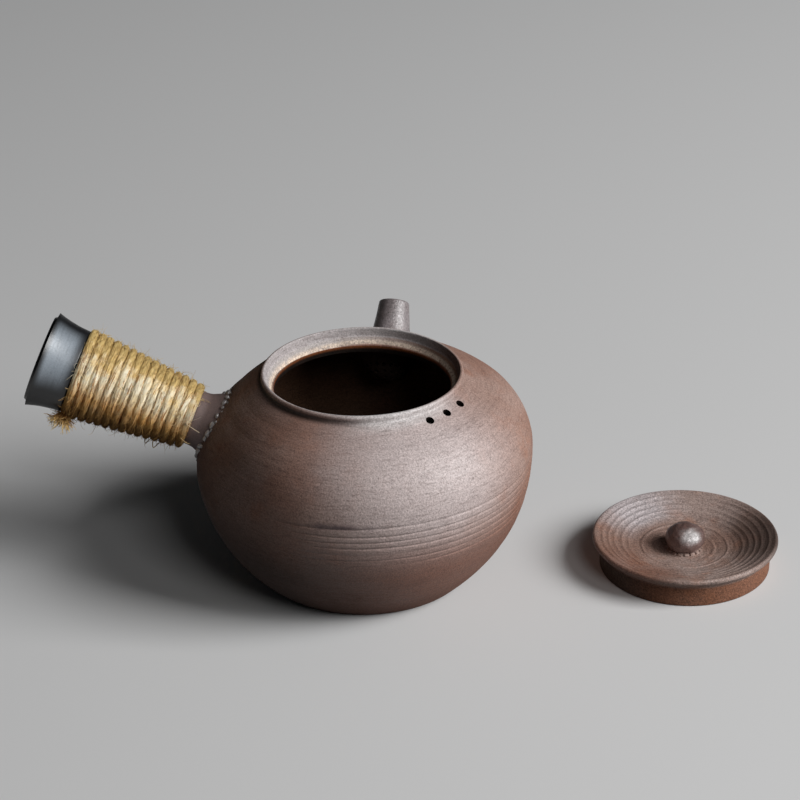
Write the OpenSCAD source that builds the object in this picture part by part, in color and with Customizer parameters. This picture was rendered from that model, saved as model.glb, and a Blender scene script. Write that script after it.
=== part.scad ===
// Side-handled stoneware teapot with a lift-off lid, shown open: the lid lies on the table beside the pot.
// The origin is on the pot's axis at table level, +Z is up and the spout points along +Y.

/* [Body] */
// Diameter of the pot at its widest
body_d = 145; // [120:1:170]
// Height of the widest girth above the table
equator_h = 57; // [48:1:66]
// Radius of the belly's curve below the girth
belly_r = 73.5; // [68:0.5:90]
// Radius of the shoulder's curve above the girth
shoulder_r = 30; // [25:0.5:34]
// Slope of the straight shoulder that runs on from that curve up to the collar
shoulder_slope = 26; // [20:0.5:30]
// Thickness of the thrown wall
wall = 4.5; // [3.5:0.1:5.5]
// Thickness of the floor
floor_t = 5; // [4:0.5:7]

/* [Mouth] */
// Diameter of the throat that takes the lid's skirt
mouth_d = 75.2; // [66:0.2:80]
// Width of the sloping ledge that the lid sits on, seen from above
seat_w = 3.4; // [3:0.1:4.5]
// Fall of the ledge from the collar to the throat
seat_drop = 3.2; // [2:0.1:4]
// Depth of the ledge's outer edge below the lip
seat_depth = 3.5; // [2.5:0.1:4.5]
// Widening of the collar's inside from the ledge up to the lip
collar_draft = 0.5; // [0.2:0.1:1]
// Height of the collar above the shoulder
collar_h = 2.9; // [2.4:0.1:4]
// Width of the collar's lip
lip_w = 1.5; // [1.4:0.1:2.5]
// Radius that rounds the collar's lip
lip_round = 1.3; // [0.8:0.1:1.4]
// Radius of the hollow where the collar meets the shoulder
collar_fillet = 1; // [0.6:0.1:1.2]

/* [Vents] */
// Diameter of each steam vent in the shoulder
vent_d = 3.4; // [2:0.1:4]
// Number of vents
vent_count = 3; // [1:1:5]
// Angle from one vent to the next
vent_step = 12; // [10:0.5:20]
// Angle of the middle vent from the +X axis
vent_turn = -30.5; // [-60:0.5:0]
// Distance of the vents' edge from the collar
vent_gap = 2.1; // [1.4:0.1:4]

/* [Spout] */
// Place of the spout's axis on the shoulder's curve, as an angle above the girth
spout_seat = 39; // [30:1:50]
// Rise of the spout above level
spout_rise = 50; // [40:1:60]
// Length of the spout's axis outside the body
spout_len = 17.3; // [14:0.1:26]
// Outer diameter at the tip
spout_tip_d = 13.2; // [12:0.1:15]
// Outer diameter where the axis leaves the body
spout_root_d = 17.4; // [16:0.1:22]
// Bore of the spout
spout_bore = 9.2; // [7:0.1:10]
// Radius that rounds the tip
spout_lip = 0.8; // [0.4:0.1:1]
// Diameter of the port through the wall behind the spout
port_d = 11; // [10.4:0.1:13]

/* [Strainer] */
// Outer diameter of the ball strainer
strainer_d = 24; // [20:0.5:28]
// Thickness of its shell
strainer_t = 2.2; // [1.8:0.1:3]
// Diameter of its holes
strainer_hole_d = 2; // [1.4:0.1:2.4]
// Angle from one ring of holes to the next
strainer_ring_step = 18; // [17:0.5:20]
// Number of rings of holes round the middle one
strainer_rings = 3; // [1:1:3]

/* [Handle] */
// Angle from the spout round to the handle, seen from above
handle_turn = 94; // [80:1:100]
// Rise of the handle above level
handle_rise = 21.5; // [10:0.5:26]
// Depth below the girth at which the handle's axis meets the pot's axis
handle_drop = 18.3; // [10:0.1:24]
// Length of the handle's axis outside the body
handle_len = 73; // [64:0.5:90]
// Diameter of the neck between the body and the binding
neck_d = 24; // [23.4:0.2:26]
// Length of the neck
neck_len = 2.8; // [2:0.1:5]
// Diameter to which the neck spreads where its axis meets the body
root_d = 25; // [24.4:0.2:28]
// Diameter of the bound core next to the neck
core_neck_d = 22; // [20.5:0.1:23.5]
// Diameter of the bound core next to the flare
core_flare_d = 33.2; // [29:0.2:35]
// Length of the flared end
flare_len = 16.5; // [12:0.5:20]
// Height of the step from the bound core up to the flare
flare_step = 1.8; // [1.2:0.1:3.5]
// Diameter of the open end
flare_d = 43; // [42:0.5:48]
// Radius that rounds the open end
flare_lip = 1.6; // [1:0.1:2]
// Thickness of the flare at the open end
flare_t = 3.6; // [3.4:0.1:5]
// Length of the bore's trumpet mouth
trumpet_len = 22; // [15:0.5:25]
// Bore of the hollow handle
handle_bore = 15; // [12:0.5:16]
// Thickness left between the bore and the body
root_wall = 4; // [3:0.5:6]

/* [Handle luting] */
// Number of pressed pellets round the handle's root
bead_count = 24; // [16:1:26]
// Diameter of a pellet
bead_d = 2.6; // [2:0.1:2.8]
// Room between a pellet and the clay that it lies against
bead_room = 0.1; // [0.05:0.05:0.3]

/* [Twine] */
// Diameter of the twine
twine_d = 3; // [2.4:0.1:3.2]
// Gap between one turn and the next
twine_gap = 0.5; // [0.45:0.05:1]
// Room between the twine and the clay under and beside it
twine_room = 0.3; // [0.25:0.05:0.6]
// Length of the loose tail at the flared end
tail_len = 11; // [6:0.5:14]
// Droop of the loose tail away from the handle
tail_droop = 5; // [3:0.5:7]

/* [Lid] */
// Room between the lid's skirt and the throat, all round
lid_room = 0.5; // [0.4:0.1:1.5]
// Height of the lid without its knob
lid_h = 14; // [12.6:0.1:17]
// Narrowing of the skirt's radius towards its foot
skirt_taper = 0.2; // [0:0.1:1]
// Thickness of the skirt
skirt_t = 4; // [3:0.1:5]
// Overhang of the flange beyond the skirt
flange_w = 3.1; // [2.5:0.1:4]
// Thickness of the flange's edge
flange_t = 2.6; // [2:0.1:3.5]
// Thickness of the lid's floor
lid_t = 4; // [3:0.1:4.4]
// Depth of the dish below the flange's top
dish_depth = 7.4; // [6:0.1:8]
// Width of the flange's flat top edge
brim_w = 1.2; // [0.8:0.1:2]
// Radius of the groove turned round the middle of the dish
groove_at = 18.6; // [15:0.2:24]
// Radius of the groove's section
groove_r = 0.9; // [0.5:0.1:1.2]
// Gap between the pot and the lid on the table
lid_apart = 26.3; // [15:0.1:60]
// Bearing of the lid from the pot, measured from the +X axis
lid_bearing = 8.2; // [-20:0.1:20]

/* [Knob] */
// Diameter of the flattened ball knob
knob_d = 17.2; // [15:0.2:20]
// Height of the whole ball, the part inside the foot included
knob_tall = 12.8; // [11.6:0.2:14]
// Radius of the ball's side in section
knob_side_r = 5; // [4:0.1:5.4]
// Diameter of the knob's foot
knob_foot_d = 12.8; // [11.6:0.2:13.4]
// Height of the foot's edge above the dish
knob_foot_h = 1.2; // [0.9:0.1:1.8]
// Width of the notched ring round the foot
ring_w = 1.4; // [1.2:0.1:2]
// Number of notches pressed into the ring
ring_notches = 16; // [10:1:18]
// Width of a notch
notch_w = 0.9; // [0.6:0.1:1]
// Room between the ring and the ball above it
ring_room = 0.2; // [0.1:0.05:0.4]

/* [Hidden] */
$fn = 96;

// Overshoot of a cut beyond the surface that it opens
cut = 1;
body_r = body_d / 2;
shoulder_x = body_r - shoulder_r;
belly_x = body_r - belly_r;
mouth_r = mouth_d / 2;
seat_r = mouth_r + seat_w;
collar_r = seat_r + collar_draft + lip_w;
// Point where the shoulder's curve runs on into its straight slope, and the slope's height at a radius
slope_x = shoulder_x + shoulder_r * sin(shoulder_slope);
slope_z = equator_h + shoulder_r * cos(shoulder_slope);
function slope_at(r) = slope_z + (slope_x - r) * tan(shoulder_slope);
rim_z = slope_at(collar_r) + collar_h;
seat_top = rim_z - seat_depth;
seat_z = seat_top - seat_drop;
seat_angle = atan2(seat_drop, seat_w);
// The fillet bites this much into the shoulder, so that the two cross cleanly
fillet_bite = 0.05;
fillet_x = collar_r + collar_fillet;
fillet_z = slope_at(fillet_x) + (collar_fillet - fillet_bite) / cos(shoulder_slope);
vent_r = vent_d / 2;
vent_at = collar_r + vent_gap + vent_r;

spout_y = shoulder_x + shoulder_r * cos(spout_seat);
spout_z = equator_h + shoulder_r * sin(spout_seat);
// The spout's cone is carried this far into the wall before the body trims it
spout_sunk = spout_root_d / 2;

handle_z = equator_h - handle_drop;
neck_r = neck_d / 2;
root_r = root_d / 2;
root_slope = (root_r - neck_r) / neck_len;
flare_r = flare_d / 2;
flare_root_r = core_flare_d / 2 + flare_step;

// Distance of a point outside the pot's outer curve, in the half-plane through its axis; negative inside
function outside(r, z) =
    z < equator_h ? norm([r - belly_x, z - equator_h]) - belly_r
    : atan2(z - equator_h, r - shoulder_x) > 90 - shoulder_slope ? (z - slope_at(r)) * cos(shoulder_slope)
    : norm([r - shoulder_x, z - equator_h]) - shoulder_r;

// How far outside the pot a point lies that is given in the handle's own frame: x and y across, s along
function handle_outside(x, y, s) =
    outside(norm([x, y * sin(handle_rise) + s * cos(handle_rise)]),
        handle_z - y * cos(handle_rise) + s * sin(handle_rise));

// Distance along the handle at which the line through x, y is that far clear of the pot, found by halving
function leaves_pot(x, y, clear = 0, near = 0, far = 2 * body_d, turns = 40) =
    turns == 0 ? (near + far) / 2
    : handle_outside(x, y, (near + far) / 2) < clear ? leaves_pot(x, y, clear, (near + far) / 2, far, turns - 1)
    : leaves_pot(x, y, clear, near, (near + far) / 2, turns - 1);

root_s = leaves_pot(0, 0);
end_s = root_s + handle_len;
neck_end_s = root_s + neck_len;
flare_s = end_s - flare_len;

// Twine: the centre line starts at the flare, on the handle's underside, and winds back to the neck
twine_r = twine_d / 2;
twine_pitch = twine_d + twine_gap;
wind_start_s = flare_s - twine_room - twine_r;
wind_end_s = neck_end_s + twine_room + twine_r;
wind_turns = (wind_start_s - wind_end_s) / twine_pitch;
turn_rings = 24;
twine_sides = 6;
wind_steps = floor(wind_turns * turn_rings);

function core_at(s) =
    (core_neck_d + (core_flare_d - core_neck_d) * (s - neck_end_s) / (flare_s - neck_end_s)) / 2;
function wind_angle(i) = 90 - 360 * i / turn_rings;
function wind_s(i) = wind_start_s - twine_pitch * i / turn_rings;
function wind_r(i) = core_at(wind_s(i)) + twine_room + twine_r;
function wind_point(i) = [wind_r(i) * cos(wind_angle(i)), wind_r(i) * sin(wind_angle(i)), wind_s(i)];
function wind_out(i) = [cos(wind_angle(i)), sin(wind_angle(i)), 0];
function unit(v) = v / norm(v);
function wind_way(i) = unit(wind_point(i + 0.5) - wind_point(i - 0.5));

tail_way = unit([-tail_len, tail_droop, 0]);
// Each ring of the tube: its centre, the way the twine runs there and the way out from the handle
twine_rings = concat(
    [for (f = [1, 0.5]) [wind_point(0) + f * tail_len * tail_way, -tail_way, wind_out(0)]],
    [for (i = [0 : wind_steps]) [wind_point(i), wind_way(i), wind_out(i)]],
    [[wind_point(wind_steps) + twine_d * wind_way(wind_steps), wind_way(wind_steps), wind_out(wind_steps)]]);

function ring_points(ring) =
    let (across = unit(cross(ring[1], ring[2])), out = cross(across, ring[1]))
    [for (k = [0 : twine_sides - 1])
        ring[0] + twine_r * (cos(360 * k / twine_sides) * across + sin(360 * k / twine_sides) * out)];

// Least gap between one turn and the next, measured between the centres of rings about a turn apart
turn_gap = min([for (i = [0 : wind_steps - turn_rings])
    for (j = [i + turn_rings - 2 : min(i + turn_rings + 2, wind_steps)])
        norm(wind_point(i) - wind_point(j))]) - twine_d;
echo(twine_turns = wind_turns, least_twine_gap = turn_gap);

lid_skirt_r = mouth_r - lid_room;
lid_r = lid_skirt_r + flange_w;
// The flange's rounded edge, and the cone under it that runs down to the skirt and rests on the pot's ledge
edge_r = flange_t / 2;
edge_x = lid_r - edge_r;
edge_z = lid_h - edge_r;
cone_x = edge_x + edge_r * sin(seat_angle);
cone_z = edge_z - edge_r * cos(seat_angle);
skirt_h = cone_z - (cone_x - lid_skirt_r) * tan(seat_angle);
dish_z = lid_h - dish_depth;
dish_r = lid_r - brim_w;
dish_curve = (dish_r ^ 2 + dish_depth ^ 2) / (2 * dish_depth);
lid_away = body_r + lid_r + lid_apart;
knob_foot_r = knob_foot_d / 2;
knob_half_h = knob_tall / 2;
// The ball's section: a small arc at the side, and a wide arc above and below that runs smoothly into it
knob_side_x = knob_d / 2 - knob_side_r;
knob_crown_r = (knob_side_x ^ 2 + knob_half_h ^ 2 - knob_side_r ^ 2) / (2 * (knob_half_h - knob_side_r));
knob_crown_w = knob_crown_r * knob_side_x / (knob_crown_r - knob_side_r);
knob_crown_drop = knob_crown_r - knob_half_h;
knob_mid = knob_foot_h + sqrt(knob_crown_r ^ 2 - knob_foot_r ^ 2) - knob_crown_drop;
ring_h = knob_foot_h - ring_room;
// Flat land in the middle of the dish that takes the knob and its ring
land_r = knob_foot_r + ring_w + cut;
land_z = dish_z + dish_curve - sqrt(dish_curve ^ 2 - land_r ^ 2);

module outer_half() {
    difference() {
        union() {
            intersection() {
                translate([belly_x, equator_h]) circle(belly_r, $fn = 240);
                square([body_r, equator_h]);
            }
            translate([shoulder_x, equator_h]) intersection() {
                circle(shoulder_r, $fn = 180);
                polygon(2 * shoulder_r * [[0, 0], [1, 0], [1, cos(shoulder_slope)],
                    [sin(shoulder_slope), cos(shoulder_slope)]]);
            }
            polygon([[0, equator_h], [slope_x, equator_h], [slope_x, slope_z], [collar_r, slope_at(collar_r)],
                [0, slope_at(collar_r)]]);
            translate([0, equator_h])
                square([fillet_x - collar_fillet * sin(shoulder_slope), fillet_z - equator_h]);
            translate([0, equator_h]) square([collar_r, rim_z - lip_round - equator_h]);
            translate([0, equator_h]) square([collar_r - lip_round, rim_z - equator_h]);
            translate([collar_r - lip_round, rim_z - lip_round]) circle(lip_round);
        }
        translate([fillet_x, fillet_z]) circle(collar_fillet);
    }
}

module cavity_half() {
    intersection() {
        translate([belly_x, equator_h]) circle(belly_r - wall, $fn = 240);
        translate([0, floor_t]) square([body_r, equator_h - floor_t]);
    }
    intersection() {
        translate([shoulder_x, equator_h]) circle(shoulder_r - wall, $fn = 180);
        translate([shoulder_x, equator_h]) square([shoulder_r, shoulder_r]);
    }
    translate([0, equator_h]) square([shoulder_x, shoulder_r - wall]);
    translate([0, equator_h]) square([mouth_r, seat_z - equator_h]);
    polygon([[0, seat_z], [mouth_r, seat_z], [seat_r, seat_top],
        [seat_r + collar_draft * (1 + cut / seat_depth), rim_z + cut], [0, rim_z + cut]]);
}

module pot_outer() {
    rotate_extrude() outer_half();
}

module pot_cavity() {
    rotate_extrude() cavity_half();
}

module in_spout_frame() {
    translate([0, spout_y, spout_z]) rotate([spout_rise - 90, 0, 0]) children();
}

module in_handle_frame() {
    translate([0, 0, handle_z]) rotate([0, 0, handle_turn]) rotate([handle_rise - 90, 0, 0]) children();
}

module on_table() {
    translate([lid_away * cos(lid_bearing), lid_away * sin(lid_bearing), 0]) children();
}

// Thrown globe, open at the collar, with the vents and the spout's port cut through its wall
module pot_body() {
    color("rosybrown") difference() {
        pot_outer();
        pot_cavity();
        for (k = [0 : vent_count - 1])
            rotate([0, 0, vent_turn + vent_step * (k - (vent_count - 1) / 2)])
                translate([vent_at, 0, slope_at(vent_at)]) rotate([0, shoulder_slope, 0])
                    translate([0, 0, -3 * wall]) cylinder(r = vent_r, h = 3 * wall + collar_h);
        in_spout_frame() translate([0, 0, -4 * wall]) cylinder(d = port_d, h = 4 * wall + spout_len / 2);
    }
}

// Short tapered tube, trimmed to the shoulder that it is luted to
module spout() {
    tip_r = spout_tip_d / 2;
    taper = (spout_root_d / 2 - tip_r) / spout_len;
    color("dimgray") difference() {
        in_spout_frame() rotate_extrude() difference() {
            union() {
                polygon([[0, -spout_sunk], [tip_r + taper * (spout_len + spout_sunk), -spout_sunk],
                    [tip_r, spout_len - spout_lip], [0, spout_len - spout_lip]]);
                square([tip_r - spout_lip, spout_len]);
                translate([tip_r - spout_lip, spout_len - spout_lip]) circle(spout_lip);
            }
            translate([0, -spout_sunk - cut]) square([spout_bore / 2, spout_len + spout_sunk + 2 * cut]);
        }
        pot_outer();
    }
}

// Pierced half ball inside the wall, over the port
module strainer() {
    color("sienna") intersection() {
        in_spout_frame() translate([0, 0, -wall - strainer_t]) difference() {
            sphere(d = strainer_d);
            sphere(d = strainer_d - 2 * strainer_t);
            for (ring = [0 : strainer_rings])
                for (k = [0 : max(1, 6 * ring) - 1])
                    rotate([0, 0, 360 * k / max(1, 6 * ring)]) rotate([180 - strainer_ring_step * ring, 0, 0])
                        translate([0, 0, strainer_d / 4]) cylinder(d = strainer_hole_d, h = strainer_d / 2);
        }
        rotate_extrude() translate([shoulder_x, equator_h]) circle(shoulder_r - wall, $fn = 180);
    }
}

// Outline of the handle in its own frame: radius across, distance from the pot's axis along
module handle_half() {
    sunk_s = root_s - root_r;
    flare_rise = flare_r - flare_root_r;
    flare_curve = (flare_len ^ 2 + flare_rise ^ 2) / (2 * flare_rise);
    polygon([[0, sunk_s], [root_r + root_slope * root_r, sunk_s], [neck_r, neck_end_s], [0, neck_end_s]]);
    polygon([[0, neck_end_s], [core_neck_d / 2, neck_end_s], [core_flare_d / 2, flare_s], [0, flare_s]]);
    difference() {
        translate([0, flare_s]) square([flare_r, flare_len - flare_lip]);
        translate([flare_root_r + flare_curve, flare_s]) circle(flare_curve, $fn = 360);
    }
    translate([0, flare_s]) square([flare_r - flare_lip, flare_len]);
    translate([flare_r - flare_lip, end_s - flare_lip]) circle(flare_lip);
}

// Hollow trumpet, trimmed to the pot's side and open at its flared end
module handle() {
    bore_s = root_s + root_wall;
    color("dimgray") difference() {
        in_handle_frame() rotate_extrude() difference() {
            handle_half();
            translate([0, bore_s]) square([handle_bore / 2, handle_len]);
            polygon([[0, end_s - trumpet_len], [handle_bore / 2, end_s - trumpet_len],
                [flare_r - flare_t, end_s], [flare_r - flare_t, end_s + cut], [0, end_s + cut]]);
        }
        pot_outer();
    }
}

// Pellets pressed into the corner between the handle's root and the pot
module handle_luting_beads() {
    clear = bead_d / 2 + bead_room;
    ring_r = root_r + root_slope * (root_s - leaves_pot(0, root_r)) + clear * sqrt(1 + root_slope ^ 2);
    color("gainsboro") in_handle_frame() for (k = [0 : bead_count - 1]) {
        x = ring_r * cos(360 * k / bead_count);
        y = ring_r * sin(360 * k / bead_count);
        translate([x, y, leaves_pot(x, y, clear)]) sphere(d = bead_d, $fn = 24);
    }
}

// One length of twine: a loose tail, then close turns from the flare back to the neck
module twine_wrap() {
    last = len(twine_rings) - 1;
    points = [for (ring = twine_rings) each ring_points(ring)];
    sides = [for (i = [0 : last - 1]) for (k = [0 : twine_sides - 1])
        let (a = i * twine_sides + k, b = i * twine_sides + (k + 1) % twine_sides)
        each [[a, a + twine_sides, b], [b, a + twine_sides, b + twine_sides]]];
    start_cap = [for (k = [1 : twine_sides - 2]) [0, k, k + 1]];
    end_cap = [for (k = [1 : twine_sides - 2])
        [last * twine_sides, last * twine_sides + k + 1, last * twine_sides + k]];
    color("burlywood") in_handle_frame() polyhedron(points, concat(sides, start_cap, end_cap));
}

// Dished lid with a coned flange that sits on the ledge and a skirt that goes into the throat
module lid() {
    color("rosybrown") on_table() rotate_extrude() difference() {
        union() {
            polygon([[0, 0], [lid_skirt_r - skirt_taper, 0], [lid_skirt_r, skirt_h], [cone_x, cone_z],
                [edge_x, edge_z], [edge_x, lid_h], [0, lid_h]]);
            translate([edge_x, edge_z]) circle(edge_r);
        }
        difference() {
            translate([0, dish_z + dish_curve]) circle(dish_curve, $fn = 720);
            translate([-land_r, 0]) square([2 * land_r, land_z]);
        }
        translate([groove_at, dish_z + dish_curve - sqrt(dish_curve ^ 2 - groove_at ^ 2)]) circle(groove_r);
        difference() {
            square([lid_skirt_r - skirt_t, skirt_h]);
            translate([0, dish_z + dish_curve]) circle(dish_curve + lid_t, $fn = 720);
        }
    }
}

// Flattened ball that sits low on a straight foot
module lid_knob() {
    color("rosybrown") on_table() translate([0, 0, land_z]) rotate_extrude() {
        intersection() {
            translate([knob_side_x, knob_mid]) circle(knob_side_r);
            square([knob_d / 2, knob_mid + knob_half_h]);
        }
        intersection() {
            translate([0, knob_mid - knob_crown_drop]) circle(knob_crown_r, $fn = 180);
            translate([0, knob_mid]) square([knob_crown_w, knob_half_h]);
        }
        intersection() {
            translate([0, knob_mid + knob_crown_drop]) circle(knob_crown_r, $fn = 180);
            square([knob_crown_w, knob_mid]);
        }
        square([knob_foot_r, knob_mid]);
    }
}

// Ring of clay pressed into the corner between the knob's foot and the lid, notched all round
module knob_luting_ring() {
    color("rosybrown") on_table() translate([0, 0, land_z]) difference() {
        rotate_extrude() intersection() {
            translate([knob_foot_r, 0]) square([ring_w, ring_h]);
            translate([knob_foot_r, 0]) circle(ring_w);
        }
        for (k = [0 : ring_notches - 1])
            rotate([0, 0, 360 * (k + 0.5) / ring_notches]) translate([knob_foot_r + ring_w / 2, 0, ring_h])
                rotate([0, 90, 0]) cylinder(d = notch_w, h = ring_w);
    }
}

pot_body();
spout();
strainer();
handle();
handle_luting_beads();
twine_wrap();
lid();
lid_knob();
knob_luting_ring();
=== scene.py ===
import math
import random

import bmesh
import bpy
from mathutils import Matrix, Vector, noise
from mathutils.bvhtree import BVHTree


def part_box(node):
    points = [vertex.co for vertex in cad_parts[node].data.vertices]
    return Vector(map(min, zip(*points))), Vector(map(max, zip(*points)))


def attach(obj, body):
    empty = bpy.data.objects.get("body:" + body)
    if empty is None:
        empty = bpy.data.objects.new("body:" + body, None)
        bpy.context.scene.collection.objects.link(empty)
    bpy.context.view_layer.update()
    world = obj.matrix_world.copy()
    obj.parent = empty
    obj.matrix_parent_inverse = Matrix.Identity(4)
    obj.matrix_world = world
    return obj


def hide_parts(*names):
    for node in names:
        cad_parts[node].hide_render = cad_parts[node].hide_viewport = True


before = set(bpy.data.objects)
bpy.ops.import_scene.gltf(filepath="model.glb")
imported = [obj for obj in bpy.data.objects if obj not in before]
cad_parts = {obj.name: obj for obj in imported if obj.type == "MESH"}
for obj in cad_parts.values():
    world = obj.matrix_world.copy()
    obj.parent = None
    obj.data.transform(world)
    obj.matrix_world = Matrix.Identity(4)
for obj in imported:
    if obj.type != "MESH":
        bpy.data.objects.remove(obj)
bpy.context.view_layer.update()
scene = bpy.context.scene
scene.view_settings.view_transform = "Standard"

# Camera
# A long lens in front of the pot, a little to its right and well above the rim, tilted by less than a degree.
# It looks past the pot's right side, so that the lid on the table is in the picture too.
lens = 124.5
sensor = 36.0
picture = 800
subject = Vector((0, 0, 0.050))
subject_pixel = (363.9, 459.8)
subject_distance = 1.190
look_turn = math.radians(10.5)
look_down = math.radians(27.26)
look_roll = math.radians(-0.83)
pixel = sensor / lens / picture * subject_distance
back = Vector((math.sin(look_turn) * math.cos(look_down), -math.cos(look_turn) * math.cos(look_down),
               math.sin(look_down)))
right = Matrix.Rotation(look_roll, 3, back) @ Vector((math.cos(look_turn), math.sin(look_turn), 0))
up = back.cross(right)
stand = (subject + subject_distance * back - (subject_pixel[0] - picture / 2) * pixel * right
         + (subject_pixel[1] - picture / 2) * pixel * up)


def placed(name, data):
    """Puts a mesh, curve, lamp or camera into the scene as an object of that name."""
    thing = bpy.data.objects.new(name, data)
    scene.collection.objects.link(thing)
    return thing


camera = placed("camera", bpy.data.cameras.new("camera"))
camera.data.lens = lens
camera.data.sensor_width = sensor
camera.matrix_world = Matrix.Translation(stand) @ Matrix((right, up, back)).transposed().to_4x4()
scene.camera = camera

# Pot body
# A squat globe of iron-rich stoneware, thrown on the wheel, with a low collar and a sloping seat for the lid.
# It is fired bare: throwing rings run round it, sand stands open in the clay, and the fire has greyed it
# in places. Its colour also holds painted light: sheen on the ash at the right front; shade low down,
# on the left and in the crease under the collar; highlights on the lip and the collar's front; and shade
# that darkens the throat and the inside.
MM = 0.001
pot_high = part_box("pot_body")[1]
body_r = pot_high.x
rim_z = pot_high.z
girth_z = 57 * MM
belly_curve = 73.5 * MM
shoulder_curve = 30 * MM
wall = 4.5 * MM
floor_t = 5 * MM
floor_round = 7 * MM
foot_round = 0.8 * MM
mouth_r = 37.6 * MM
seat_w = 3.4 * MM
seat_drop = 3.2 * MM
seat_depth = 3.5 * MM
collar_draft = 0.5 * MM
lip_w = 1.5 * MM
lip_round = 1.05 * MM
edge_round = 0.4 * MM
crease_round = 1 * MM
shoulder_slope = math.radians(26)
belly_x = body_r - belly_curve
shoulder_x = body_r - shoulder_curve
seat_r = mouth_r + seat_w
collar_r = seat_r + collar_draft + lip_w
seat_z = rim_z - seat_depth - seat_drop
ceiling_z = girth_z + shoulder_curve - wall
slope_x = shoulder_x + shoulder_curve * math.sin(shoulder_slope)
slope_z = girth_z + shoulder_curve * math.cos(shoulder_slope)
crease_z = slope_z + (slope_x - collar_r) * math.tan(shoulder_slope)
base_turn = math.degrees(math.asin((2 * foot_round - girth_z) / belly_curve))
floor_turn = math.degrees(math.asin((floor_t + floor_round / 2 - girth_z) / (belly_curve - wall)))
sharp_turn = math.radians(50)
merge_gap = 0.001 * MM


def arc(x, z, radius, start, end, step):
    """Points about step apart on an arc round x, z, from one angle to another in degrees."""
    count = max(2, round(abs(math.radians(end - start)) * radius / step))
    turns = [math.radians(start + (end - start) * k / count) for k in range(count + 1)]
    return [(x + radius * math.cos(turn), z + radius * math.sin(turn)) for turn in turns]


def soft(corners, step):
    """Points along straight runs between x, z, radius corners, each inner corner rounded off."""
    points = [corners[0][:2]]
    for before, (x, z, radius), after in zip(corners, corners[1:], corners[2:]):
        corner = Vector((x, z))
        back_way = (Vector(before[:2]) - corner).normalized()
        next_way = (Vector(after[:2]) - corner).normalized()
        half = back_way.angle(next_way) / 2
        centre = corner + (back_way + next_way).normalized() * radius / math.sin(half)
        first = corner + back_way * radius / math.tan(half) - centre
        sweep = math.pi - 2 * half
        side = math.copysign(sweep, first.x * next_way.y - first.y * next_way.x)
        count = max(3, round(radius * sweep / step))
        for k in range(count + 1):
            points.append(tuple(centre + Matrix.Rotation(side * k / count, 2) @ first))
    return points + [corners[-1][:2]]


def walked(points, step):
    """The same run of points with more of them, so that none lie further apart than step."""
    run = [points[0]]
    for (x, z), (next_x, next_z) in zip(points, points[1:]):
        count = max(1, math.ceil(math.hypot(next_x - x, next_z - z) / step))
        run += [(x + (next_x - x) * k / count, z + (next_z - z) * k / count) for k in range(1, count + 1)]
    return run


def smooth_piece(bm, name):
    """Finishes a bmesh as a piece of the scene with smooth faces."""
    for face in bm.faces:
        face.smooth = True
    mesh = bpy.data.meshes.new(name)
    bm.to_mesh(mesh)
    bm.free()
    return placed(name, mesh)


def thrown(name, outline, steps, depth=None, inner_from=None, closed=False, place=Matrix.Identity(4)):
    """A piece turned on the wheel: its outline of distances from the axis and heights is spun round the axis.

    depth(row, turn) lifts each point of the surface, and rows after inner_from take the second material."""
    bm = bmesh.new()
    row_of = bm.verts.layers.int.new("row")
    ring = []
    for row, (x, z) in enumerate(outline):
        ring.append(bm.verts.new((x, 0, z)))
        ring[-1][row_of] = row
    pairs = list(zip(ring, ring[1:] + (ring[:1] if closed else [])))
    edges = [bm.edges.new(pair) for pair in pairs]
    bmesh.ops.spin(bm, geom=ring + edges, cent=(0, 0, 0), axis=(0, 0, 1), angle=2 * math.pi, steps=steps,
                   use_merge=True)
    last = len(outline) - 1
    for vert in list(bm.verts) if depth else []:
        row = vert[row_of]
        ahead = outline[(row + 1) % (last + 1) if closed else min(row + 1, last)]
        behind = outline[row - 1 if closed else max(row - 1, 0)]
        lift = Vector((ahead[1] - behind[1], behind[0] - ahead[0])).normalized()
        turn = math.atan2(vert.co.y, vert.co.x) if outline[row][0] > merge_gap else 0.0
        vert.co += depth(row, turn) * Vector((lift.x * math.cos(turn), lift.x * math.sin(turn), lift.y))
    if inner_from is not None:
        for face in bm.faces:
            face.material_index = int(min(vert[row_of] for vert in face.verts) >= inner_from)
    bm.verts.layers.int.remove(row_of)
    bmesh.ops.remove_doubles(bm, verts=bm.verts, dist=merge_gap)
    bmesh.ops.recalc_face_normals(bm, faces=bm.faces)
    piece = smooth_piece(bm, name)
    piece.data.transform(place)
    piece.data.set_sharp_from_angle(angle=sharp_turn)
    return piece


row_step = 0.46 * MM
round_step = 0.3 * MM
collar_step = 0.25 * MM
inner_step = 1.6 * MM
flat_step = 6 * MM
groove_count = 7
groove_low = 38 * MM
groove_step = 3.1 * MM
groove_w = 0.42 * MM
groove_deep = 0.34 * MM
groove_side = math.radians(-25)
base_x = belly_x + belly_curve * math.cos(math.radians(base_turn))
floor_x = belly_x + (belly_curve - wall) * math.cos(math.radians(floor_turn)) - floor_round
foot = walked(soft([(0, 0, 0), (base_x - 2 * foot_round, 0, foot_round), (base_x, 2 * foot_round, 0)],
                   round_step), flat_step)
groove_turn = math.degrees(math.asin((groove_low - 2 * groove_step - girth_z) / belly_curve))
outer_wall = (arc(belly_x, girth_z, belly_curve, base_turn, groove_turn, 1.2 * row_step)[1:]
              + arc(belly_x, girth_z, belly_curve, groove_turn, 0, 0.65 * row_step)[1:]
              + arc(shoulder_x, girth_z, shoulder_curve, 0, 90 - math.degrees(shoulder_slope), row_step)[1:])
collar = walked(soft([(slope_x, slope_z, 0), (collar_r, crease_z, crease_round), (collar_r, rim_z, lip_round),
                      (collar_r - lip_w, rim_z, edge_round), (seat_r, rim_z - seat_depth, 1.5 * edge_round),
                      (mouth_r, seat_z, 1.5 * edge_round), (mouth_r, ceiling_z, 2 * edge_round),
                      (shoulder_x, ceiling_z, 0)], collar_step), row_step)[1:]
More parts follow.
